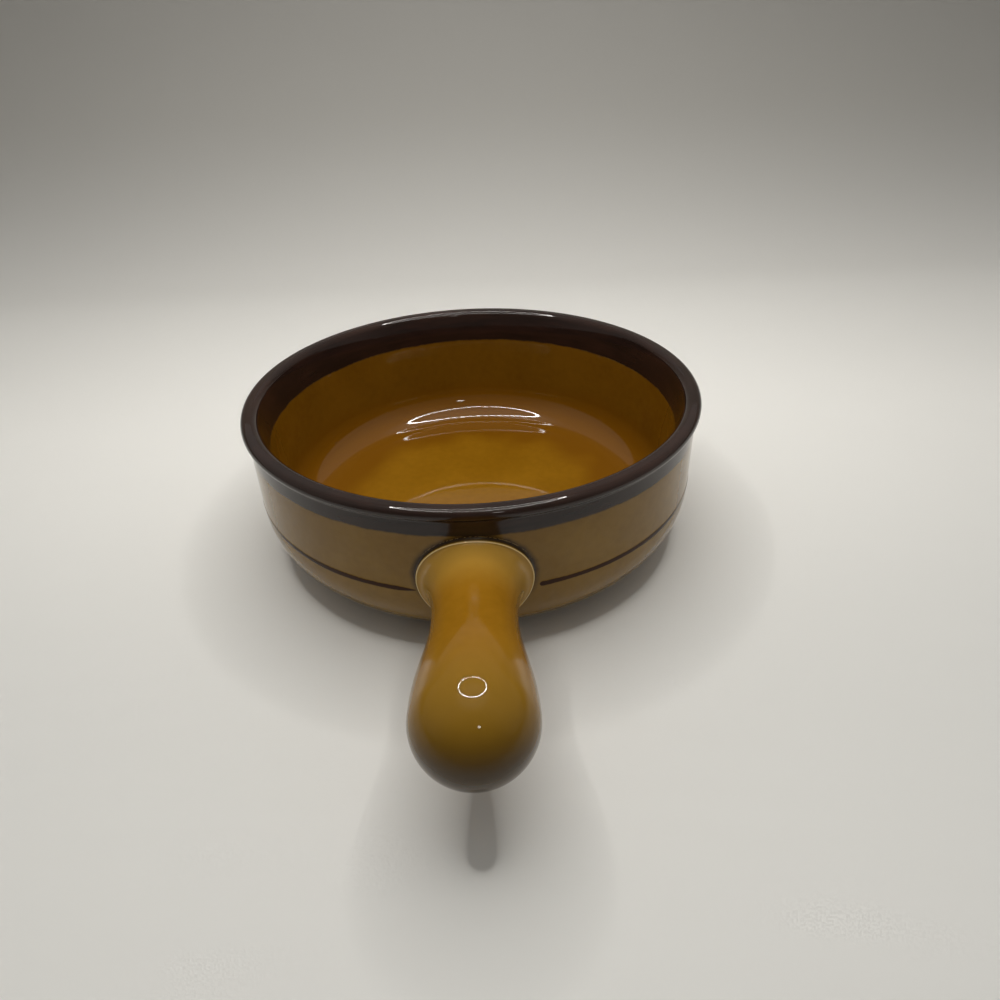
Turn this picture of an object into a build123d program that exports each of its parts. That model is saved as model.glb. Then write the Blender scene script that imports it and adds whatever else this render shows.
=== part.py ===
from build123d import *
import os
from math import asin, cos, degrees, radians, sin, sqrt, tan

os.makedirs("parts", exist_ok=True)

# Bowl, in millimetres over the glaze
rim_diameter = 140.0
bowl_height = 49.0
rim_edge_radius = 1.7
rim_overhang = 1.3
rim_cove_radius = 1.2
lip_radius = 2.2
lip_turn = 15.0
ease_radius = 60.0
wall_thickness = 5.8
inside_taper = 3.5
floor_thickness = 4.2
cove_radius = 12.0
belly_radius = 20.8
belly_turn = 41.0
heel_radius = 14.0

# Foot ring and the recess inside it
foot_height = 3.4
foot_inset = 5.0
foot_width = 4.5
foot_round = 0.8
recess_depth = 2.0

# Glaze coats
glaze = 0.5
coat_gap = 0.05
band_outside = 8.0
band_inside = 10.7
stripe_rise = 1.5
stripe_width = 1.3
stripe_thickness = 0.2
stripe_left_gap = 0.9
stripe_right_gap = 2.0

# Handle, measured out from the wall along its own axis
flange_gap = 0.6
handle_tilt = 5.5
flange_width = 30.0
flange_height = 26.0
flange_edge = 1.2
flare_depth = 1.0
flare_spread = 0.6
neck_diameter = 20.3
neck_reach = 17.6
bulb_diameter = 26.2
bulb_reach = 47.4
swell_share = 0.4
handle_reach = 60.0
handle_shell = 3.6
slip_thickness = 0.8
vent_diameter = 3.0
vent_reach = 24.0

# Share of a span that a cubic needs to follow a quarter of an ellipse
quarter = 0.5523
# How far cutting shapes run past the wall's face
overrun = 8.0

# Heights and radii that follow from the sizes
rim_radius = rim_diameter / 2
wall_radius = rim_radius - rim_overhang
inside_radius = wall_radius - wall_thickness
floor_height = foot_height + floor_thickness
band_outside_height = bowl_height - band_outside
band_inside_height = bowl_height - band_inside
belly_angle = radians(belly_turn)
heel_centre_radius = wall_radius - belly_radius + (belly_radius - heel_radius) * cos(belly_angle)
heel_centre_height = foot_height + heel_radius
belly_height = heel_centre_height + (belly_radius - heel_radius) * sin(belly_angle)
foot_radius = heel_centre_radius - foot_inset
foot_bore = foot_radius - foot_width
edge_span = rim_edge_radius + rim_cove_radius
rim_cove_drop = sqrt(edge_span**2 - (edge_span - rim_overhang) ** 2)
rim_cove_height = bowl_height - rim_edge_radius - rim_cove_drop
rim_cove_angle = degrees(asin(rim_cove_drop / edge_span))
ease_span = ease_radius - lip_radius
ease_centre = (inside_radius + ease_radius, bowl_height - lip_radius - ease_span * sin(radians(lip_turn)))
lip_centre = (ease_centre[0] - ease_span * cos(radians(lip_turn)), bowl_height - lip_radius)
band_turn = degrees(asin((band_inside_height - ease_centre[1]) / ease_radius))
taper = radians(inside_taper)
ease_end = (ease_centre[0] - ease_radius * cos(taper), ease_centre[1] + ease_radius * sin(taper))
cove_start_height = floor_height + cove_radius * (1 - sin(taper))
cove_start_radius = ease_end[0] - (ease_end[1] - cove_start_height) * tan(taper)
cove_centre = (cove_start_radius - cove_radius * cos(taper), floor_height + cove_radius)


def line(start, end):
    return Line((start[0], 0, start[1]), (end[0], 0, end[1]))


def arc(centre, radius, first, last):
    """Arc in the bowl's half section, between two angles in degrees."""
    turns = [radians(first), radians((first + last) / 2), radians(last)]
    return ThreePointArc(*[(centre[0] + radius * cos(a), 0, centre[1] + radius * sin(a)) for a in turns])


def rim_line(inset, low_turn=band_turn):
    """Section of the rim, from the inner band's lower edge over the lip to the outer band's lower edge."""
    outer = wall_radius - inset
    edge = (rim_radius - rim_edge_radius, bowl_height - rim_edge_radius)
    cove = (wall_radius + rim_cove_radius, rim_cove_height)
    return [
        arc(ease_centre, ease_radius - inset, 180 - low_turn, 180 - lip_turn),
        arc(lip_centre, lip_radius - inset, 180 - lip_turn, 90),
        line((lip_centre[0], bowl_height - inset), (edge[0], bowl_height - inset)),
        arc(edge, rim_edge_radius - inset, 90, -rim_cove_angle),
        arc(cove, rim_cove_radius + inset, 180 - rim_cove_angle, 180),
        line((outer, rim_cove_height), (outer, band_outside_height)),
    ]


def inside_line(inset):
    """Section of the inside, from the band's edge down the tapered wall and cove to the floor's middle."""
    ease = arc(ease_centre, ease_radius - inset, 180 - band_turn, 180 - inside_taper)
    cove = arc(cove_centre, cove_radius + inset, -inside_taper, -90)
    floor = line((cove_centre[0], floor_height - inset), (0, floor_height - inset))
    return [ease, Line(ease @ 1, cove @ 0), cove, floor]


def outside_line(inset):
    """Section of the outside, from the band's lower edge down the wall, belly and heel to the foot ring."""
    outer = wall_radius - inset
    belly = (wall_radius - belly_radius, belly_height)
    heel = (heel_centre_radius, heel_centre_height)
    under = foot_height + inset
    return [
        line((outer, band_outside_height), (outer, belly_height)),
        arc(belly, belly_radius - inset, 0, -belly_turn),
        arc(heel, heel_radius - inset, -belly_turn, -90),
        line((heel[0], under), (foot_radius, under)),
    ]


def foot_line():
    """Section of the bare foot ring and of the recess inside it."""
    top = recess_depth + glaze
    return [
        line((foot_radius, foot_height + glaze), (foot_radius, foot_round)),
        arc((foot_radius - foot_round, foot_round), foot_round, 0, -90),
        line((foot_radius - foot_round, 0), (foot_bore + foot_round, 0)),
        arc((foot_bore + foot_round, foot_round), foot_round, -90, -180),
        line((foot_bore, foot_round), (foot_bore, top)),
        line((foot_bore, top), (0, top)),
    ]


def turned(edges):
    return revolve(make_face(edges), Axis.Z)


def coat(path):
    """Glaze coat between a surface of the bowl and the clay under it."""
    face, clay = path(0), path(glaze)
    starts = [edges[0] @ 0 for edges in (face, clay)]
    ends = [edges[-1] @ 1 for edges in (face, clay)]
    return turned(face + clay + [Line(*starts), Line(*ends)])


# Bowl body, from one half section whose inside curve runs unbroken under the band's edge
axis_line = line((0, recess_depth + glaze), (0, floor_height - glaze))
clay_inside = inside_line(glaze)[1:]
clay_outside = rim_line(glaze, inside_taper) + outside_line(glaze) + foot_line()
bowl_body = turned(clay_outside + [axis_line] + clay_inside)

# Handle's own frame: across, up, and out along its axis
handle_height = band_outside_height - flange_gap - flange_height / 2
tilt = radians(handle_tilt)
root = Plane((0, -wall_radius, handle_height), x_dir=(1, 0, 0), z_dir=(0, -cos(tilt), sin(tilt)))


def spun(outline):
    """Solid turned about the handle's axis from an outline given as radius and reach."""
    half = Plane(root.origin, x_dir=root.x_dir, z_dir=-root.y_dir) * make_face(outline)
    return revolve(half, Axis(root.origin, root.z_dir))


def wall_core(inset):
    """Everything inside the outer wall's face, from the band's edge down to the heel."""
    path = outside_line(inset)
    start, end = path[0] @ 0, path[-1] @ 1
    top = line((start.X, start.Z), (0, start.Z))
    middle = line((0, start.Z), (0, end.Z))
    floor = line((0, end.Z), (end.X, end.Z))
    return turned(path + [top, middle, floor])


def flange_column(inset):
    """Oval column on the flange's outline, along the handle's axis through the wall and out to the waist."""
    upright = Plane(root.origin, x_dir=(1, 0, 0), z_dir=(0, -1, 0))
    oval = Ellipse(flange_width / 2 - inset, flange_height / 2 - inset)
    return extrude(upright * oval, neck_reach + overrun, dir=root.z_dir, both=True)


def flare(inset):
    """Flared root of the handle, hollow-curved from just past the flange's width to the waist."""
    wide = flange_width / 2 + flare_spread - inset
    neck = neck_diameter / 2 - inset
    start = -flare_depth - inset
    deep = start - overrun
    outline = [
        Line((0, deep), (wide, deep)),
        Line((wide, deep), (wide, start)),
        Bezier(
            (wide, start),
            (wide - quarter * (wide - neck), start),
            (neck, neck_reach - quarter * (neck_reach - start)),
            (neck, neck_reach),
        ),
        Line((neck, neck_reach), (0, neck_reach)),
        Line((0, neck_reach), (0, deep)),
    ]
    return spun(outline)


def bulb(inset):
    """Round part of the handle, from its waist to its end."""
    neck = neck_diameter / 2 - inset
    fat = bulb_diameter / 2 - inset
    end = handle_reach - inset
    swell = (bulb_reach - neck_reach) * swell_share
    outline = [
        Line((0, neck_reach), (neck, neck_reach)),
        Bezier((neck, neck_reach), (neck, neck_reach + swell), (fat, bulb_reach - swell), (fat, bulb_reach)),
        Bezier(
            (fat, bulb_reach),
            (fat, bulb_reach + quarter * (end - bulb_reach)),
            (quarter * fat, end),
            (0, end),
        ),
        Line((0, end), (0, neck_reach)),
    ]
    return spun(outline)


def handle_form(inset):
    """Whole handle as a solid form that runs into the wall: an even oval flange, the flare and the bulb."""
    seat = wall_core(inset - flange_edge) + flare(inset)
    return (seat & flange_column(inset)) + bulb(inset)


# Handle body: hollow clay, cut to sit on the slip, with a vent underneath
clay_form = handle_form(glaze)
slip_face = wall_core(glaze - slip_thickness)
hollow_radius = neck_diameter / 2 - glaze - handle_shell
channel = extrude(root.offset(-overrun) * Circle(hollow_radius), overrun + neck_reach)
hollow = bulb(glaze + handle_shell) + channel
vent_frame = Plane(root.offset(vent_reach).origin, x_dir=root.x_dir, z_dir=-root.y_dir)
vent = extrude(vent_frame * Circle(vent_diameter / 2), neck_diameter)
handle_body = clay_form - hollow - vent - slip_face

# Joining slip between the flange and the wall's clay
slip_pad = flange_column(glaze) - hollow
joining_slip = slip_pad & (slip_face - wall_core(glaze))

# Glaze coats
rim_band = coat(rim_line)
inside_glaze = coat(inside_line)
outside_glaze = coat(outside_line) - flange_column(-coat_gap)
handle_glaze = handle_form(0) - clay_form - vent - wall_core(glaze)
base_disc = Cylinder(foot_bore, glaze, align=(Align.CENTER, Align.CENTER, Align.MIN))
base_glaze = Pos(0, 0, recess_depth) * base_disc

# Stripe round the wall just above the belly, from one side of the flange to the other
stripe_height = belly_height + stripe_rise
rise = (stripe_height - handle_height) / (flange_height / 2)
beside = flange_width / 2 * sqrt(1 - rise**2)
left_angle = degrees(asin((beside + stripe_left_gap) / wall_radius))
right_angle = degrees(asin((beside + stripe_right_gap) / wall_radius))
low = stripe_height - stripe_width / 2
high = stripe_height + stripe_width / 2
proud = wall_radius + stripe_thickness
corners = [(wall_radius, low), (proud, low), (proud, high), (wall_radius, high)]
section = make_face([line(corners[i - 1], corners[i]) for i in range(4)])
stripe = Rot(0, 0, right_angle - 90) * revolve(section, Axis.Z, 360 - left_angle - right_angle)

for name, shape in {
    "bowl_body": bowl_body,
    "handle_body": handle_body,
    "joining_slip": joining_slip,
    "rim_band": rim_band,
    "inside_glaze": inside_glaze,
    "outside_glaze": outside_glaze,
    "handle_glaze": handle_glaze,
    "base_glaze": base_glaze,
    "stripe": stripe,
}.items():
    export_step(shape, f"parts/{name}.step")
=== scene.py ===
from math import asin, cos, degrees, radians, sin, sqrt, tan

import bmesh
import bpy
import numpy as np
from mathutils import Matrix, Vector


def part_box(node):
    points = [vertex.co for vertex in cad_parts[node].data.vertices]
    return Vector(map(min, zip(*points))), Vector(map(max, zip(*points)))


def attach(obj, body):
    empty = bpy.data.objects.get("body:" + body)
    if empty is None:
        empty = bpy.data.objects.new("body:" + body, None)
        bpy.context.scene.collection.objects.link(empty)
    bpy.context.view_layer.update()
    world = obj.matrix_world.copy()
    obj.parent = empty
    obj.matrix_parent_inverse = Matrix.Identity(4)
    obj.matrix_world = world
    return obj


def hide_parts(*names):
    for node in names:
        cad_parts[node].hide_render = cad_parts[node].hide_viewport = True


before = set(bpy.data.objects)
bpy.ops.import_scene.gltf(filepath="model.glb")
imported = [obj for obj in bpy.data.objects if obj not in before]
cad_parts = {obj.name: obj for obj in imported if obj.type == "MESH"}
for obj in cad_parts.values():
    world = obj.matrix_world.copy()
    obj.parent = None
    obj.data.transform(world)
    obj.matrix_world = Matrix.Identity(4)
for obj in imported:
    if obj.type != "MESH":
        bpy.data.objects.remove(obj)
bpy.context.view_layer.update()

mm = 0.001

# Sizes that the frame gives
rim_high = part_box("rim_band")[1]
wall_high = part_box("outside_glaze")[1]
inside_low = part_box("inside_glaze")[0]
slip_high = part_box("joining_slip")[1]
base_low, base_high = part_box("base_glaze")
stripe_low, stripe_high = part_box("stripe")
glaze = base_high[2] - base_low[2]
rim_radius = rim_high[0]
bowl_height = rim_high[2]
wall_radius = wall_high[0]
outer_band_height = wall_high[2]
foot_bore = base_high[0]
recess_depth = base_low[2]
floor_height = inside_low[2] + glaze
flange_half_width = slip_high[0] + glaze
stripe_height = (stripe_low[2] + stripe_high[2]) / 2
stripe_width = stripe_high[2] - stripe_low[2]

# Bowl's section, over the glaze
rim_edge_radius = 1.7 * mm
rim_cove_radius = 1.2 * mm
lip_radius = 2.2 * mm
lip_turn = 15.0
ease_radius = 60.0 * mm
wall_thickness = 5.8 * mm
inside_taper = 3.5
cove_radius = 12.0 * mm
belly_radius = 20.8 * mm
belly_turn = 41.0
heel_radius = 14.0 * mm
foot_height = 3.4 * mm
foot_inset = 5.0 * mm
inner_band = 10.7 * mm

# Handle, measured out from the wall along its own axis
flange_gap = 0.6 * mm
flange_half_height = 13.0 * mm
handle_tilt = radians(5.5)
flange_edge = 1.2 * mm
flare_depth = 1.0 * mm
flare_spread = 0.6 * mm
neck_radius = 10.15 * mm
neck_reach = 17.6 * mm
bulb_radius = 13.1 * mm
bulb_reach = 47.4 * mm
swell_share = 0.4
handle_reach = 60.0 * mm
vent_radius = 1.5 * mm
vent_reach = 24.0 * mm
coat_gap = 0.05 * mm

# How the glaze rounds the flange: at its foot, at its edge and where the flare leaves it
flange_fillet = 0.5 * mm
flange_round = 0.5 * mm
flare_blend = 0.9 * mm
# Share of a span that a cubic needs to follow a quarter of an ellipse
quarter = 0.5523

# Stripe: its distance from the flange, its two ends, how far it strays and how proud it lies
stripe_left_gap = 0.9 * mm
stripe_right_gap = 2.0 * mm
stripe_blunt = 0.6 * mm
stripe_point = 5.0 * mm
stripe_stray = 0.10 * mm
stripe_proud = 0.10 * mm
stripe_flat = 0.3 * mm

# Heights and radii that follow from the sizes
inside_radius = wall_radius - wall_thickness
inner_band_height = bowl_height - inner_band
belly_angle = radians(belly_turn)
heel_step = belly_radius - heel_radius
heel_centre = (
    wall_radius - belly_radius + heel_step * cos(belly_angle),
    foot_height + heel_radius,
)
belly_centre = (wall_radius - belly_radius, heel_centre[1] + heel_step * sin(belly_angle))
foot_radius = heel_centre[0] - foot_inset
edge_span = rim_edge_radius + rim_cove_radius
rim_overhang = rim_radius - wall_radius
rim_cove_drop = sqrt(edge_span**2 - (edge_span - rim_overhang) ** 2)
rim_cove_height = bowl_height - rim_edge_radius - rim_cove_drop
rim_cove_angle = degrees(asin(rim_cove_drop / edge_span))
ease_span = ease_radius - lip_radius
ease_centre = (
    inside_radius + ease_radius,
    bowl_height - lip_radius - ease_span * sin(radians(lip_turn)),
)
lip_centre = (ease_centre[0] - ease_span * cos(radians(lip_turn)), bowl_height - lip_radius)
band_turn = degrees(asin((inner_band_height - ease_centre[1]) / ease_radius))
taper = radians(inside_taper)
ease_end = (
    ease_centre[0] - ease_radius * cos(taper),
    ease_centre[1] + ease_radius * sin(taper),
)
cove_start_height = floor_height + cove_radius * (1 - sin(taper))
cove_start_radius = ease_end[0] - (ease_end[1] - cove_start_height) * tan(taper)
cove_centre = (cove_start_radius - cove_radius * cos(taper), floor_height + cove_radius)
handle_height = outer_band_height - flange_gap - flange_half_height
lip_middle = (lip_centre[0] + rim_radius - rim_edge_radius) / 2

# How finely the surfaces are cut
bowl_columns = 384
handle_columns = 192
curve_points = 400
hole_rings = 9
hole_ring_spread = 1.5
stripe_rows = 900
stripe_columns = 24
# Room left round the holes: in vent radii, and below and beside the flange
vent_clear = 2.2
clear_below = 2.5 * mm
clear_beside = 4 * mm

# Least face that is kept, how near points are merged and the turn at which an edge stays sharp
least_face = 1e-14
merge_distance = 1e-7
sharp_turn = radians(50)


def hold(values):
    """Values kept between 0 and 1."""
    return np.clip(values, 0.0, 1.0)


def arc(centre, radius, first, last, steps):
    """Points of a circle between two angles in degrees, as rows of radius and height."""
    turn = np.radians(np.linspace(first, last, steps))
    return np.stack([centre[0] + radius * np.cos(turn), centre[1] + radius * np.sin(turn)], 1)


def run(start, end, steps):
    """Evenly spaced points of a straight stretch, as rows of radius and height."""
    return np.linspace(start, end, steps)


def joined(*stretches):
    """One line from stretches that each start where the last one ends."""
    return np.concatenate([stretches[0]] + [stretch[1:] for stretch in stretches[1:]])


def rim_section(inset):
    """Rim's line, from the inner band's lower edge over the lip to the outer band's lower edge.
    Each stretch ends with its count of points."""
    edge = (rim_radius - rim_edge_radius, bowl_height - rim_edge_radius)
    cove = (wall_radius + rim_cove_radius, rim_cove_height)
    top = bowl_height - inset
    outer = wall_radius - inset
    return joined(
        arc(ease_centre, ease_radius - inset, 180 - band_turn, 180 - lip_turn, 16),
        arc(lip_centre, lip_radius - inset, 180 - lip_turn, 90, 18),
        run((lip_centre[0], top), (edge[0], top), 4),
        arc(edge, rim_edge_radius - inset, 90, -rim_cove_angle, 26),
        arc(cove, rim_cove_radius + inset, 180 - rim_cove_angle, 180, 10),
        run((outer, rim_cove_height), (outer, outer_band_height), 6),
    )


def inside_section(inset):
    """Inside's line, from the band's edge down the tapered wall and round the cove to the middle
    of the floor."""
    ease = arc(ease_centre, ease_radius - inset, 180 - band_turn, 180 - inside_taper, 8)
    cove = arc(cove_centre, cove_radius + inset, -inside_taper, -90, 40)
    floor = floor_height - inset
    return joined(
        ease,
        run(ease[-1], cove[0], 10),
        cove,
        run((cove_centre[0], floor), (0, floor), 30),
    )


def outside_section(inset):
    """Outside's line, from the band's lower edge down the wall, belly and heel to the foot ring."""
    outer = wall_radius - inset
    under = foot_height + inset
    return joined(
        run((outer, outer_band_height), (outer, belly_centre[1]), 26),
        arc(belly_centre, belly_radius - inset, 0, -belly_turn, 26),
        arc(heel_centre, heel_radius - inset, -belly_turn, -90, 26),
        run((heel_centre[0], under), (foot_radius, under), 6),
    )


def turned(section, turn):
    """Section carried round the bowl's axis: across is radius times sine, depth is minus radius
    times cosine."""
    radius = section[..., 0, None] if section.ndim == 2 else section[..., 0]
    height = section[..., 1, None] if section.ndim == 2 else section[..., 1]
    across = radius * np.sin(turn)
    depth = -radius * np.cos(turn)
    return np.stack([across, depth, height + 0 * turn], -1)


def strip(first, last):
    """Sheet of one row of quads between two lines of points."""
    return np.stack([first, last]), None


def holed(surface, rows, columns, block, edge):
    """Sheets of a surface of two parameters with a round hole: the grid without a block of its
    cells, and rings that pass from the block's border to the hole's edge, closer together near
    the hole, each point along its own direction."""
    first_row, last_row, first_column, last_column = block
    grid = surface(*np.meshgrid(rows, columns, indexing="ij"))
    opened = np.zeros((len(rows) - 1, len(columns) - 1), bool)
    opened[first_row:last_row, first_column:last_column] = True
    down = np.arange(first_row, last_row)
    over = np.arange(first_column, last_column)
    border_rows = np.concatenate(
        [0 * over + first_row, down, 0 * over + last_row, down[::-1] + 1, [first_row]]
    )
    border_columns = np.concatenate(
        [over, 0 * down + last_column, over[::-1] + 1, 0 * down + first_column, [first_column]]
    )
    border = np.stack([rows[border_rows], columns[border_columns]])
    hole = np.stack(edge(*border))
    share = np.linspace(0, 1, hole_rings)[:, None, None] ** hole_ring_spread
    rings = hole + (border - hole) * share
    ring_points = surface(rings[:, 0], rings[:, 1])
    return [(grid, opened), (ring_points, None)], ring_points[0]


def solid(name, sheets, marks=None):
    """Closed mesh object from sheets of points: neighbours become quads, quads with no area are
    left out, points that meet are merged and faces turned outwards. Marks give each point a value
    between 0 and 1."""
    points, faces, start = [], [], 0
    for grid, opened in sheets:
        rows, columns = grid.shape[:2]
        index = start + np.arange(rows * columns).reshape(rows, columns)
        quads = np.stack([index[:-1, :-1], index[:-1, 1:], index[1:, 1:], index[1:, :-1]], -1)
        faces.append(quads[~opened] if opened is not None else quads.reshape(-1, 4))
        points.append(grid.reshape(-1, 3))
        start += rows * columns
    points = np.concatenate(points)
    faces = np.concatenate(faces)
    corners = points[faces]
    across = np.cross(corners[:, 2] - corners[:, 0], corners[:, 3] - corners[:, 1])
    faces = faces[np.linalg.norm(across, axis=1) > least_face]
    mesh = bpy.data.meshes.new(name)
    mesh.from_pydata(points, [], faces.tolist())
    if marks is not None:
        layer = mesh.attributes.new("edge", "FLOAT", "POINT")
        layer.data.foreach_set("value", np.concatenate(marks).astype(np.float32))
    made = bmesh.new()
    made.from_mesh(mesh)
    bmesh.ops.remove_doubles(made, verts=made.verts, dist=merge_distance)
    loose = [v for v in made.verts if not v.link_faces]
    bmesh.ops.delete(made, geom=loose, context="VERTS")
    bmesh.ops.recalc_face_normals(made, faces=made.faces)
    made.to_mesh(mesh)
    made.free()
    mesh.shade_smooth()
    mesh.set_sharp_from_angle(angle=sharp_turn)
    piece = bpy.data.objects.new(name, mesh)
    bpy.context.scene.collection.objects.link(piece)
    return piece


def dress(piece, node, finish):
    """Piece stands for a node, rides with the bowl and takes a finish."""
    piece.data.materials.clear()
    piece.data.materials.append(finish)
    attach(piece, "root")
    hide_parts(node)


def turned_coat(name, section):
    """Coat of glaze on a turned surface: its line over the glaze and its line on the clay,
    carried round."""
    face, clay = section(0.0), section(glaze)
    loop = np.concatenate([face, clay[::-1], face[:1]])
    turn = np.linspace(0, 2 * np.pi, bowl_columns + 1)
    return solid(name, [(turned(loop, turn), None)])


# Handle's own axes: across, up and out
handle_root = np.array([0.0, -wall_radius, handle_height])
handle_across = np.array([1.0, 0.0, 0.0])
handle_up = np.array([0.0, sin(handle_tilt), cos(handle_tilt)])
handle_out = np.array([0.0, -cos(handle_tilt), sin(handle_tilt)])
# Stretches of the handle's skin, from the wall to the end of the bulb
skin_stretches = 5


def cubic(points, share):
    """Point of a cubic curve at a share of its length, from its four control points."""
    rest = 1 - share
    weights = [rest**3, 3 * rest**2 * share, 3 * rest * share**2, share**3]
    return sum(weight * point for weight, point in zip(weights, points))


def wall_face(height, inset):
    """Outer wall's radius at a height: straight above the belly and round below it."""
    drop = np.clip(belly_centre[1] - height, 0, belly_radius * 0.9)
    return belly_centre[0] + np.sqrt((belly_radius - inset) ** 2 - drop**2)


def reach_of(radius, across, up):
    """Distance out along the handle's axis at which it meets a drum about the bowl's axis."""
    out = np.sqrt(radius**2 - across**2) - wall_radius
    return (out + up * sin(handle_tilt)) / cos(handle_tilt)


def swell_reach(share):
    """Distance out along the handle's axis at a share of the swell from waist to bulb."""
    swell = (bulb_reach - neck_reach) * swell_share
    return cubic((neck_reach, neck_reach + swell, bulb_reach - swell, bulb_reach), share)


def handle_skin(along, turn, inset):
    """Handle's skin. Along runs 0 to 1 round the fillet on the wall, to 2 round the flange's edge,
    to 3 down the flare to the waist, to 4 over the swell and to 5 round the end, and turn goes
    round the axis. The flare is a cubic whose reach is blended with the flange's face by a smooth
    maximum."""
    half_width, half_height = flange_half_width - inset, flange_half_height - inset
    cosine, sine = np.cos(turn), np.sin(turn)
    oval = half_width * half_height / np.hypot(half_height * cosine, half_width * sine)
    wide = flange_half_width + flare_spread - inset
    neck, fat = neck_radius - inset, bulb_radius - inset
    start, end = -flare_depth - inset, handle_reach - inset
    flare_radius = (wide, wide - quarter * (wide - neck), neck, neck)
    flare_reach = (start, start, neck_reach - quarter * (neck_reach - start), neck_reach)

    def seat(radius, proud):
        """Reach at which the wall, or a face proud of it, lies under the skin."""
        height = handle_height + radius * sine * cos(handle_tilt)
        return reach_of(wall_face(height, -proud), radius * cosine, radius * sine)

    def flared(share):
        """Radius and reach at a share of the flare."""
        radius = cubic(flare_radius, share)
        reach = cubic(flare_reach, share)
        face = seat(radius, flange_edge - inset)
        gap = np.sqrt((reach - face) ** 2 + (flare_blend * (1 - share)) ** 2)
        return radius, (reach + face + gap) / 2

    shares = np.linspace(0, 1, curve_points)
    leave = np.interp(-(oval - flange_round), -cubic(flare_radius, shares), shares)
    top = flared(leave)[1]
    wall = seat(oval + flange_fillet, -inset)
    fillet_turn = hold(along) * np.pi / 2
    round_turn = hold(along - 1) * np.pi / 2
    flare_share = leave + (1 - leave) * hold(along - 2)
    swell_step = hold(along - 3)
    end_step = hold(along - 4)
    end_reach = (bulb_reach, bulb_reach + quarter * (end - bulb_reach), end, end)
    stretches = [
        (
            oval + flange_fillet * (1 - np.sin(fillet_turn)),
            wall + flange_fillet * (1 - np.cos(fillet_turn)),
        ),
        (
            oval - flange_round * (1 - np.cos(round_turn)),
            top - flange_round * (1 - np.sin(round_turn)),
        ),
        flared(flare_share),
        (cubic((neck, neck, fat, fat), swell_step), swell_reach(swell_step)),
        (cubic((fat, fat, quarter * fat, 0.0), end_step), cubic(end_reach, end_step)),
    ]
    picks = [along < 1, along < 2, along < 3, along < 4, along >= 4]
    radius = np.select(picks, [stretch[0] for stretch in stretches])
    reach = np.select(picks, [stretch[1] for stretch in stretches])
    return (
        handle_root
        + (radius * cosine)[..., None] * handle_across
        + (radius * sine)[..., None] * handle_up
        + reach[..., None] * handle_out
    )


def handle_coat():
    """Handle's glaze: the skin over the glaze, the skin on the clay, and strips that join them at
    the wall and round the vent underneath. The mark is the place along the skin, as a share of
    its stretches, and that of the plain swell where nothing depends on it."""
    rows = np.concatenate(
        [
            np.linspace(0, 0.999, 8),
            np.linspace(1, 1.999, 10),
            2 + np.linspace(0, 0.999, 56) ** 1.3,
            np.linspace(3, 3.999, 56),
            np.linspace(4, skin_stretches, 36),
        ]
    )
    columns = np.linspace(-np.pi, np.pi, handle_columns + 1)
    shares = np.linspace(0, 1, curve_points)
    reaches = swell_reach(shares)
    vent_place = 3 + np.interp(vent_reach, reaches, shares)
    slope = np.interp(vent_reach, reaches, np.gradient(shares, reaches))
    half_along, half_turn = vent_radius * slope, vent_radius / neck_radius
    underneath = -np.pi / 2

    def vent_edge(along, turn):
        """Vent's edge in the direction of a place on the skin."""
        angle = np.arctan2((turn - underneath) / half_turn, (along - vent_place) / half_along)
        return vent_place + half_along * np.cos(angle), underneath + half_turn * np.sin(angle)

    block = (
        np.searchsorted(rows, vent_place - vent_clear * half_along),
        np.searchsorted(rows, vent_place + vent_clear * half_along),
        np.searchsorted(columns, underneath - vent_clear * half_turn),
        np.searchsorted(columns, underneath + vent_clear * half_turn),
    )
    sheets, edges, borders = [], [], []
    for inset in (0.0, glaze):
        made, ring = holed(
            lambda along, turn: handle_skin(along, turn, inset), rows, columns, block, vent_edge
        )
        sheets += made
        edges.append(ring)
        borders.append(made[0][0][0])
    sheets += [strip(*edges), strip(*borders)]
    swell_mark = 3.5 / skin_stretches
    marks = [np.full(sheet[0].shape[:2], swell_mark) for sheet in sheets]
    marks[0][:] = rows[:, None] / skin_stretches
    return solid("handle_coat", sheets, [mark.ravel() for mark in marks])


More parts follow.
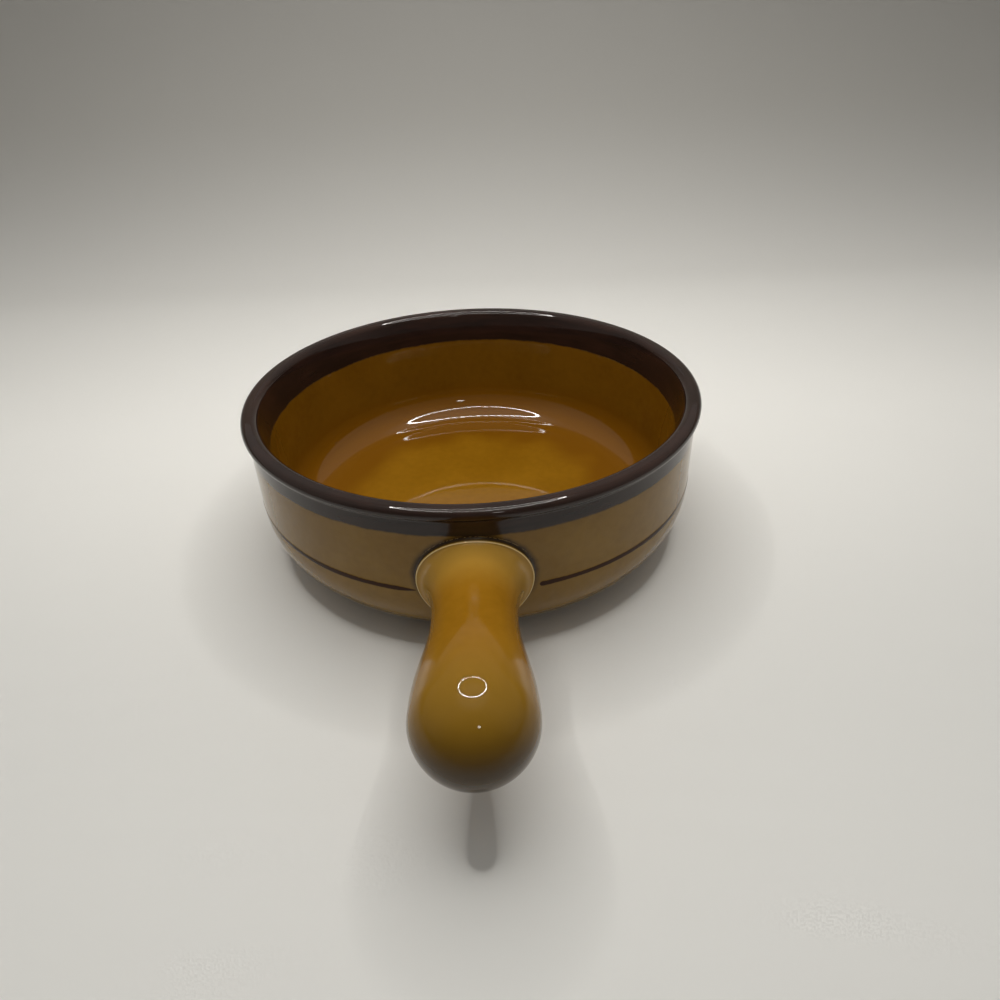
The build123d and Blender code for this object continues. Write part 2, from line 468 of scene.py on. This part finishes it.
def outside_coat():
    """Outside's glaze: the turned outside line with an oval hole for the handle's flange, over the
    glaze and on the clay, and strips that join the two at the band, at the foot and round the
    hole."""
    columns = np.linspace(-np.pi, np.pi, bowl_columns + 1)
    sections = {inset: outside_section(inset) for inset in (0.0, glaze)}
    outer = sections[0.0]
    rows = np.arange(len(outer), dtype=float)
    half_width, half_height = flange_half_width + coat_gap, flange_half_height + coat_gap

    def surface(row, turn, inset):
        """Point of the outside at a place down its line and a turn round the bowl."""
        line = sections[inset]
        radius, height = np.interp(row, rows, line[:, 0]), np.interp(row, rows, line[:, 1])
        place = np.stack([radius, height], -1)
        return turned(place[..., None, :], turn[..., None])[..., 0, :]

    def flange_outline(row, turn):
        """Flange's outline in the direction of a place on the outside."""
        height = np.interp(row, rows, outer[:, 1])
        across = np.interp(row, rows, outer[:, 0]) * np.sin(turn)
        angle = np.arctan2((height - handle_height) / half_height, across / half_width)
        height = handle_height + half_height * np.sin(angle)
        place = np.interp(-height, -outer[:, 1], rows)
        radius = np.interp(place, rows, outer[:, 0])
        return place, np.arcsin(half_width * np.cos(angle) / radius)

    lowest = handle_height - half_height - clear_below
    widest = asin((half_width + clear_beside) / wall_radius)
    last_row = int(np.interp(-lowest, -outer[:, 1], rows))
    first_column = np.searchsorted(columns, -widest)
    block = (0, last_row, first_column, bowl_columns - first_column)
    sheets, edges, tops, feet = [], [], [], []
    for inset in sections:
        made, ring = holed(
            lambda row, turn: surface(row, turn, inset), rows, columns, block, flange_outline
        )
        sheets += made
        edges.append(ring)
        tops.append(made[0][0][0])
        feet.append(made[0][0][-1])
    return solid("outside_coat", sheets + [strip(*edges), strip(*tops), strip(*feet)])


def brushed_stripe():
    """Brushed line: a low lens-shaped section carried round the wall between the flange's two
    sides. Its width is greatest in front, follows two slow waves, comes to a point at one end and
    is blunt at the other. The mark is the middle."""
    path = np.linspace(0, 1, stripe_rows)[:, None]
    round_lens = np.linspace(0, 2 * np.pi, stripe_columns + 1)[None, :]
    rise = (stripe_height - handle_height) / flange_half_height
    beside = flange_half_width * sqrt(1 - rise**2)
    right_end = asin((beside + stripe_right_gap) / wall_radius)
    left_end = 2 * np.pi - asin((beside + stripe_left_gap) / wall_radius)
    turn = right_end + (left_end - right_end) * path
    length = wall_radius * (left_end - right_end)
    from_start, from_end = path * length, (1 - path) * length
    blunt = np.sqrt(hold(from_start / stripe_blunt))
    pointed = hold(from_end / stripe_point) ** 0.6
    waves = 0.08 * np.sin(9 * turn + 0.6) + 0.05 * np.sin(23 * turn + 2.0)
    brush = 0.98 + 0.34 * np.cos(turn) + waves
    half = stripe_width * 0.5 * brush * blunt * pointed
    stray = stripe_stray * np.sin(5 * turn + 1.0)
    proud = stripe_proud * np.sin(round_lens) * np.minimum(1, half / stripe_flat)
    radius = wall_radius + proud
    height = stripe_height + stray + half * np.cos(round_lens)
    points = np.stack([radius * np.sin(turn), -radius * np.cos(turn), height], -1)
    middle = hold(1 - np.cos(round_lens) ** 2) + 0 * path
    return solid("brushed_stripe", [(points, None)], [middle.ravel()])


def base_coat():
    """Glaze in the recess inside the foot ring: a flat round sheet as thick as the other coats."""
    under, over = recess_depth, recess_depth + glaze
    loop = joined(
        run((0, under), (foot_bore, under), 24),
        run((foot_bore, under), (foot_bore, over), 3),
        run((foot_bore, over), (0, over), 24),
    )
    turn = np.linspace(0, 2 * np.pi, handle_columns + 1)
    return solid("base_coat", [(turned(loop, turn), None)])


def tint(code):
    """Linear colour from a hex code."""
    parts = [int(code[i : i + 2], 16) / 255 for i in (0, 2, 4)]
    return [p / 12.92 if p <= 0.04045 else ((p + 0.055) / 1.055) ** 2.4 for p in parts] + [1.0]


class Wire:
    """An output socket of a finish. Arithmetic on it adds Math nodes to that finish."""

    def __init__(self, finish, socket):
        self.finish = finish
        self.socket = socket

    def maths(self, operation, *terms):
        """Result of a Math node on numbers or wires."""
        return self.finish.node("ShaderNodeMath", {"operation": operation}, dict(enumerate(terms)))

    def __add__(self, other):
        return self.maths("ADD", self, other)

    def __radd__(self, other):
        return self.maths("ADD", other, self)

    def __sub__(self, other):
        return self.maths("SUBTRACT", self, other)

    def __rsub__(self, other):
        return self.maths("SUBTRACT", other, self)

    def __mul__(self, other):
        return self.maths("MULTIPLY", self, other)

    def __rmul__(self, other):
        return self.maths("MULTIPLY", other, self)

    def __truediv__(self, other):
        return self.maths("DIVIDE", self, other)

    def __pow__(self, other):
        return self.maths("POWER", self, other)

    def step(self, low, high):
        """Smooth rise from 0 at low to 1 at high."""
        sockets = {"Value": self, "From Min": low, "From Max": high}
        settings = {"interpolation_type": "SMOOTHSTEP"}
        return self.finish.node("ShaderNodeMapRange", settings, sockets)


class Finish:
    """Node tree of one finish, built by adding nodes whose sockets take numbers, colours or
    wires."""

    def __init__(self, tree):
        self.tree = tree
        tree.nodes.clear()

    def node(self, kind, settings, sockets, output=0):
        """Adds a node and gives one of its outputs."""
        made = self.tree.nodes.new(kind)
        for key, value in settings.items():
            setattr(made, key, value)
        for key, value in sockets.items():
            if isinstance(value, Wire):
                self.tree.links.new(value.socket, made.inputs[key])
            else:
                made.inputs[key].default_value = value
        return Wire(self, made.outputs[output]) if made.outputs else None

    def place(self):
        """Place on the object, in metres."""
        return self.node("ShaderNodeTexCoord", {}, {}, "Object")

    def axis(self, vector, letter):
        """One part of a place."""
        return self.node("ShaderNodeSeparateXYZ", {}, {"Vector": vector}, letter)

    def stretched(self, vector, scale):
        """Place scaled along each axis."""
        sockets = {0: vector, 1: scale}
        return self.node("ShaderNodeVectorMath", {"operation": "MULTIPLY"}, sockets)

    def noise(self, vector, size, detail=2.0):
        """Soft blotches of about a size, between 0 and 1."""
        sockets = {"Vector": vector, "Scale": 1 / size, "Detail": detail}
        return self.node("ShaderNodeTexNoise", {}, sockets)

    def mixed(self, first, second, share):
        """Colour between two colours."""
        sockets = {0: share, 6: first, 7: second}
        return self.node("ShaderNodeMix", {"data_type": "RGBA"}, sockets, 2)

    def mark(self):
        """Mark that a piece's points carry."""
        return self.node("ShaderNodeAttribute", {"attribute_name": "edge"}, {}, "Fac")

    def bump(self, height, depth):
        """Relief as deep as given."""
        sockets = {"Height": height, "Distance": depth, "Strength": 1.0}
        return self.node("ShaderNodeBump", {}, sockets)

    def surface(self, kind, sockets):
        """Shader that ends the finish."""
        shader = self.node(kind, {}, sockets)
        self.node("ShaderNodeOutputMaterial", {}, {"Surface": shader})


def finish_of(name):
    """New material and its empty node tree."""
    material = bpy.data.materials.new(name)
    material.use_nodes = True
    return material, Finish(material.node_tree)


# Colours of the glazes, among them painted shade, a painted reflection and a painted highlight.
# Pairs are a thin and a thick colour, for the rim a dark and a reddish one.
floor_amber = ("926512", "83580b")
pool_amber = "784c08"
inside_wall_shade_amber = ("7c5410", "6c470a")
outside_amber = ("8a6a2c", "7c5c20")
handle_amber = ("966818", "895d0f")
bulb_amber = "88661a"
bulb_end_shade_amber = "3c2a0a"
flare_reflection_amber = "b08a3e"
crest_straw_highlight = "e2cb92"
corner_shade_brown = "20130a"
flange_shade_brown = "24160c"
rim_brown = ("271b16", "34221b")
stripe_brown = "382010"

# Colours of the bare clay: two buffs for each piece, and iron specks
body_buff = ("c9ab83", "b3916a")
slip_buff = ("bfa27c", "a98862")
iron_speck = "4a3220"

# Relief and gloss of the glaze: sizes of its wave, finer skin and patches of gloss
wave_size = 9 * mm
skin_size = 1.6 * mm
skin_share = 0.05
relief_depth = 0.011 * mm
gloss_size = 5 * mm
least_roughness = 0.02
roughness_range = 0.03

# Blotches and mottle of the amber, streaks and patches of the brown, and the band's edge
blotch_size = 26 * mm
mottle_size = 2.4 * mm
streak_size = 14 * mm
brush_stretch = (1, 1, 7)
patch_size = 20 * mm
band_waves = (7 * mm, 1.5 * mm)
band_wander = 0.9 * mm
band_soft = 0.35 * mm
lip_soft = 0.2 * mm

# Where the inside's tones change: out along the floor where the glaze pools, and up the wall where
# painted shade deepens it
tone_wander = 30 * mm
pool_radii = (36 * mm, 47 * mm)
wall_shade_heights = (13 * mm, 24 * mm)

# Where painted shade lies round the flange, in flange sizes from its middle, and only in front
flange_shade_reach = (1.01, 1.13)
flange_shade_rise = (-0.6, 0.5)
flange_shade_depths = (-50 * mm, -30 * mm)

# Where the handle's tones change, painted shade, reflection and highlight among them: along its
# depth, up its end and along its skin
bulb_depths = (-122 * mm, -98 * mm)
end_shade_depths = (-127 * mm, -113 * mm)
end_shade_heights = (31 * mm, 43 * mm)
flare_reflection_depths = (-86 * mm, -70 * mm)
corner_shade_rise = 9 * mm
corner_shade_along = (0.9, 1.45)
crest_along = 1.62
crest_fade = (0.004, 0.045)

# How strongly each glaze mirrors, as an index of refraction
inside_index = 1.5
outside_index = 1.35
rim_index = 1.43
handle_index = 1.36
stripe_index = 1.2


def glazed(finish, colour, place, index):
    """Glossy fired glaze: a soft wave and a finer skin in the surface, and a gloss that varies a
    little."""
    wave = finish.noise(place, wave_size)
    skin = finish.noise(place, skin_size, 3.0)
    relief = finish.bump(wave + skin_share * skin, relief_depth)
    roughness = least_roughness + roughness_range * finish.noise(place, gloss_size)
    finish.surface(
        "ShaderNodeBsdfPrincipled",
        {"Base Color": colour, "Roughness": roughness, "IOR": index, "Normal": relief},
    )


def amber(finish, place, colours):
    """Amber glaze: broad soft blotches and a fine mottle between a thin and a thick colour."""
    thin, thick = colours
    broad = finish.noise(place, blotch_size)
    fine = finish.noise(place, mottle_size, 3.0)
    share = (broad * 0.8 + fine * 0.35).step(0.35, 0.85)
    return finish.mixed(tint(thin), tint(thick), share)


def radius_of(finish, place):
    """Distance from the bowl's axis."""
    across = finish.axis(place, "X")
    depth = finish.axis(place, "Y")
    return (across * across + depth * depth) ** 0.5


def brown(finish, place):
    """Brown glaze brushed round the rim: streaks along the brush, reddish where it is thin."""
    dark, reddish = rim_brown
    streaks = finish.noise(finish.stretched(place, brush_stretch), streak_size, 3.0)
    patches = finish.noise(place, patch_size)
    share = (streaks * 0.6 + patches * 0.5).step(0.4, 0.75)
    return finish.mixed(tint(dark), tint(reddish), share)


def banded(finish, place, colour):
    """Colour with the rim's brown over it. The band's lower edge is lower inside than outside,
    soft and a little wavy."""
    radius = radius_of(finish, place)
    outer = radius.step(lip_middle - lip_soft, lip_middle + lip_soft)
    edge = inner_band_height + outer * (outer_band_height - inner_band_height)
    slow, quick = [finish.noise(place, size) for size in band_waves]
    wander = slow + 0.35 * quick
    height = finish.axis(place, "Z") + (wander - 0.67) * band_wander
    share = (height - edge).step(-band_soft, band_soft)
    return finish.mixed(colour, brown(finish, place), share)


def inside_finish():
    """Amber inside: redder where the glaze pools round the cove, and painted shade that leaves the
    wall deeper than the brighter floor."""
    material, finish = finish_of("amber_glaze_inside")
    place = finish.place()
    radius = radius_of(finish, place)
    height = finish.axis(place, "Z")
    wander = (finish.noise(place, tone_wander) - 0.5) * tone_wander
    pool = (radius + wander).step(*pool_radii)
    # Painted shade: the wall is made darker than the floor
    wall = (height + wander * 0.2).step(*wall_shade_heights)
    colour = finish.mixed(amber(finish, place, floor_amber), tint(pool_amber), pool)
    colour = finish.mixed(colour, amber(finish, place, inside_wall_shade_amber), wall)
    glazed(finish, banded(finish, place, colour), place, inside_index)
    return material


def flange_shade(finish, place):
    """Share of painted shade in the corner round the flange: most above it, fading with distance
    and below."""
    across, depth, height = [finish.axis(place, letter) for letter in "XYZ"]
    over = (height - handle_height) / flange_half_height
    beside = across / flange_half_width
    wander = (finish.noise(place, 2 * mm) - 0.5) * 0.06
    away = (beside * beside + over * over) ** 0.5 + wander
    near = 1 - away.step(*flange_shade_reach)
    above = 0.35 + 0.6 * over.step(*flange_shade_rise)
    front = 1 - depth.step(*flange_shade_depths)
    return near * above * front


def outside_finish(name, index):
    """Amber outside, a little greyer, with painted shade round the flange and the rim's brown
    above.
    """
    material, finish = finish_of(name)
    place = finish.place()
    colour = amber(finish, place, outside_amber)
    # Painted shade in the corner round the flange
    colour = finish.mixed(colour, tint(flange_shade_brown), flange_shade(finish, place))
    glazed(finish, banded(finish, place, colour), place, index)
    return material


def handle_finish():
    """Amber on the handle, greener on the bulb, with painted shade low on its end, paler on the
    flare as a painted reflection, painted shade in the corner above the flange and a pale straw
    along its edge where the glaze breaks thin, brightened as a painted highlight."""
    material, finish = finish_of("amber_glaze_handle")
    place = finish.place()
    depth, height = finish.axis(place, "Y"), finish.axis(place, "Z")
    along = finish.mark() * skin_stretches
    bulb = 1 - depth.step(*bulb_depths)
    # Painted shade low on the bulb's end
    end = 1 - depth.step(*end_shade_depths)
    low = end * (1 - height.step(*end_shade_heights))
    # Painted reflection: the flare made paler
    flare = depth.step(*flare_reflection_depths)
    # Painted shade in the corner above the flange
    above = height.step(handle_height - corner_shade_rise, handle_height)
    corner = (1 - along.step(*corner_shade_along)) * above
    # Pale straw where the glaze breaks thin over the flange's edge, brightened into a painted
    # highlight
    from_crest = along - crest_along
    off_crest = from_crest * from_crest * (0.7 + 0.6 * finish.noise(place, 1.2 * mm))
    crest = 1 - off_crest.step(*crest_fade)
    colour = amber(finish, place, handle_amber)
    colour = finish.mixed(colour, tint(bulb_amber), bulb * 0.8)
    colour = finish.mixed(colour, tint(bulb_end_shade_amber), low * 0.9)
    colour = finish.mixed(colour, tint(flare_reflection_amber), flare * 0.7)
    colour = finish.mixed(colour, tint(corner_shade_brown), corner * 0.95)
    colour = finish.mixed(colour, tint(crest_straw_highlight), crest)
    glazed(finish, colour, place, handle_index)
    return material


def stripe_finish():
    """Brown brushed thin, soaking into the amber at its edges."""
    material, finish = finish_of("brown_glaze_stripe")
    place = finish.place()
    soaked = finish.mark() + (finish.noise(place, 1.0 * mm, 3.0) - 0.5) * 0.5
    colour = amber(finish, place, outside_amber)
    colour = finish.mixed(colour, tint(stripe_brown), soaked.step(0.05, 0.5))
    glazed(finish, colour, place, stripe_index)
    return material


def clay_finish(name, colours):
    """Bare stoneware: buff with iron specks and a dry grain."""
    material, finish = finish_of(name)
    pale, dark = colours
    place = finish.place()
    grain = finish.noise(place, 0.5 * mm, 4.0)
    patches = finish.noise(place, 12 * mm)
    specks = finish.noise(place, 0.9 * mm, 1.0).step(0.70, 0.76)
    share = (patches * 0.6 + grain * 0.5).step(0.35, 0.75)
    colour = finish.mixed(tint(pale), tint(dark), share)
    colour = finish.mixed(colour, tint(iron_speck), specks * 0.8)
    roughness = 0.72 + 0.2 * grain
    relief = finish.bump(grain, 0.08 * mm)
    finish.surface(
        "ShaderNodeBsdfPrincipled",
        {"Base Color": colour, "Roughness": roughness, "Normal": relief},
    )
    return material


def dress_object():
    """Glaze pieces over the frame's coats, and clay finishes on the clay that the frame keeps."""
    outside = outside_finish("amber_glaze_outside", outside_index)
    rim = outside_finish("brown_glaze_rim", rim_index)
    dress(turned_coat("rim_coat", rim_section), "rim_band", rim)
    dress(
        turned_coat("inside_coat", inside_section), "inside_glaze", inside_finish()
    )
    dress(outside_coat(), "outside_glaze", outside)
    dress(handle_coat(), "handle_glaze", handle_finish())
    dress(base_coat(), "base_glaze", outside)
    dress(brushed_stripe(), "stripe", stripe_finish())
    clay = clay_finish("stoneware", body_buff)
    slip = clay_finish("slip", slip_buff)
    for node, finish in {"bowl_body": clay, "handle_body": clay, "joining_slip": slip}.items():
        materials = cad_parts[node].data.materials
        materials.clear()
        materials.append(finish)


# Studio: floor and backdrop, and the greys that their paper passes through from front to back, with
# painted light further back and painted shade up the backdrop
floor_half_width = 3.0
floor_front = -4.0
sweep_start = 0.26
sweep_radius = 0.09
backdrop_height = 0.24
front_grey = "a19e99"
front_depths = (-0.22, -0.15)
near_paper = "e0dfdb"
far_lit_paper = "fefcf7"
paper_light_depths = (-0.10, 0.10)
backdrop_shade_grey = "b0aeaa"
backdrop_shade_rise = (0.18, 0.56)
paper_roughness = 0.62
paper_index = 1.3


def studio_floor():
    """Pale floor that sweeps up into a backdrop: a line of floor, quarter circle and wall carried
    sideways. The paper is a little greyer in front, paler further back as painted light and greyer
    up the backdrop as painted shade."""
    bend = np.linspace(0, np.pi / 2, 24)
    sweep_end = sweep_start + sweep_radius
    depth = np.concatenate([[floor_front], sweep_start + sweep_radius * np.sin(bend), [sweep_end]])
    height = np.concatenate([[0], sweep_radius * (1 - np.cos(bend)), [backdrop_height]])
    depth, height = depth[:, None], height[:, None]
    across = np.array([-floor_half_width, floor_half_width])
    grid = np.stack([across + 0 * depth, depth + 0 * across, height + 0 * across], -1)
    rows = np.arange(len(depth) - 1)[:, None] * 2
    mesh = bpy.data.meshes.new("studio_floor")
    mesh.from_pydata(grid.reshape(-1, 3), [], (rows + np.array([0, 1, 3, 2])).tolist())
    mesh.shade_smooth()
    floor = bpy.data.objects.new("studio_floor", mesh)
    bpy.context.scene.collection.objects.link(floor)
    material, finish = finish_of("pale_paper")
    place = finish.place()
    back = finish.axis(place, "Y")
    away = back + finish.axis(place, "Z")
    # Painted light: the paper paler further back
    paper = finish.mixed(tint(near_paper), tint(far_lit_paper), back.step(*paper_light_depths))
    # Painted shade: the paper greyer up the backdrop
    paper = finish.mixed(paper, tint(backdrop_shade_grey), away.step(*backdrop_shade_rise))
    paper = finish.mixed(tint(front_grey), paper, back.step(*front_depths))
    finish.surface(
        "ShaderNodeBsdfPrincipled",
        {"Base Color": paper, "Roughness": paper_roughness, "IOR": paper_index},
    )
    mesh.materials.append(material)


# Ring of small lamps overhead, and one round lamp in front
lamp_count = 100
lamp_radius = 3.4 * mm
ring_radius = 126 * mm
ring_centre = (0.0, -0.012, 0.36)
lamp_strength = 101.0
front_place = (0.166, -0.906, 0.645)
front_radius = 44 * mm
front_strength = 15.0
lamp_white = "fffdf9"


def lamp(name, points, strength):
    """Glowing flat lamps, one for each row of points, left out of the camera's own view."""
    count, corners = points.shape[:2]
    faces = np.arange(count * corners).reshape(count, corners)
    mesh = bpy.data.meshes.new(name)
    mesh.from_pydata(points.reshape(-1, 3), [], faces.tolist())
    made = bpy.data.objects.new(name, mesh)
    bpy.context.scene.collection.objects.link(made)
    material, finish = finish_of(name + "_glow")
    finish.surface("ShaderNodeEmission", {"Color": tint(lamp_white), "Strength": strength})
    mesh.materials.append(material)
    made.visible_camera = False


def lamps():
    """Ring of small six-sided lamps that face down, at even turns round its centre over the bowl,
    and an upright round lamp in front of it."""
    turn = np.linspace(0, 2 * np.pi, lamp_count, endpoint=False)[:, None]
    corner = np.linspace(0, -2 * np.pi, 6, endpoint=False)[None, :]
    across = ring_centre[0] + ring_radius * np.cos(turn) + lamp_radius * np.cos(corner)
    depth = ring_centre[1] + ring_radius * np.sin(turn) + lamp_radius * np.sin(corner)
    ring = np.stack([across, depth, 0 * across + ring_centre[2]], -1)
    lamp("ring_lamp", ring, lamp_strength)
    around = np.linspace(0, 2 * np.pi, 24, endpoint=False)[None, :]
    disc = np.stack(
        [front_radius * np.cos(around), 0 * around, front_radius * np.sin(around)], -1
    )
    lamp("front_lamp", disc + front_place, front_strength)


# Soft light: its level at the walls, what the ceiling and the part straight above add, and the
# share that the open front takes away, each over a range of upward or forward direction
tent_white = "fefdf9"
tent_level = 0.265
ceiling_more = 0.05
ceiling_range = (0.3, 0.8)
top_more = 0.4
top_range = (0.86, 0.97)
front_less = 0.6
front_range = (0.25, 0.85)


def soft_tent():
    """Soft white light from the ceiling and walls, most from straight above and dimmer towards the
    open front."""
    world = bpy.data.worlds.new("soft_tent")
    bpy.context.scene.world = world
    world.use_nodes = True
    finish = Finish(world.node_tree)
    way = finish.node("ShaderNodeTexCoord", {}, {}, "Generated")
    front = (0 - finish.axis(way, "Y")).step(*front_range)
    up = finish.axis(way, "Z")
    level = tent_level + ceiling_more * up.step(*ceiling_range) + top_more * up.step(*top_range)
    level = level * (1 - front_less * front)
    light = finish.node("ShaderNodeBackground", {}, {"Color": tint(tent_white), "Strength": level})
    finish.node("ShaderNodeOutputWorld", {}, {"Surface": light})


# Camera at the photograph's place
camera_place = (5.79 * mm, -207.25 * mm, 145.18 * mm)
camera_turn = (55.839, 1.803, -1.710)
camera_lens = 25.99
camera_sensor = 36.0
nearest_seen = 0.01


def photo_camera():
    """Camera that takes the photograph's view."""
    data = bpy.data.cameras.new("photo_camera")
    data.sensor_width = camera_sensor
    data.lens = camera_lens
    data.clip_start = nearest_seen
    camera = bpy.data.objects.new("photo_camera", data)
    camera.location = camera_place
    camera.rotation_euler = [radians(angle) for angle in camera_turn]
    bpy.context.scene.collection.objects.link(camera)
    bpy.context.scene.camera = camera


dress_object()
studio_floor()
lamps()
soft_tent()
photo_camera()
bpy.context.scene.view_settings.view_transform = "Standard"
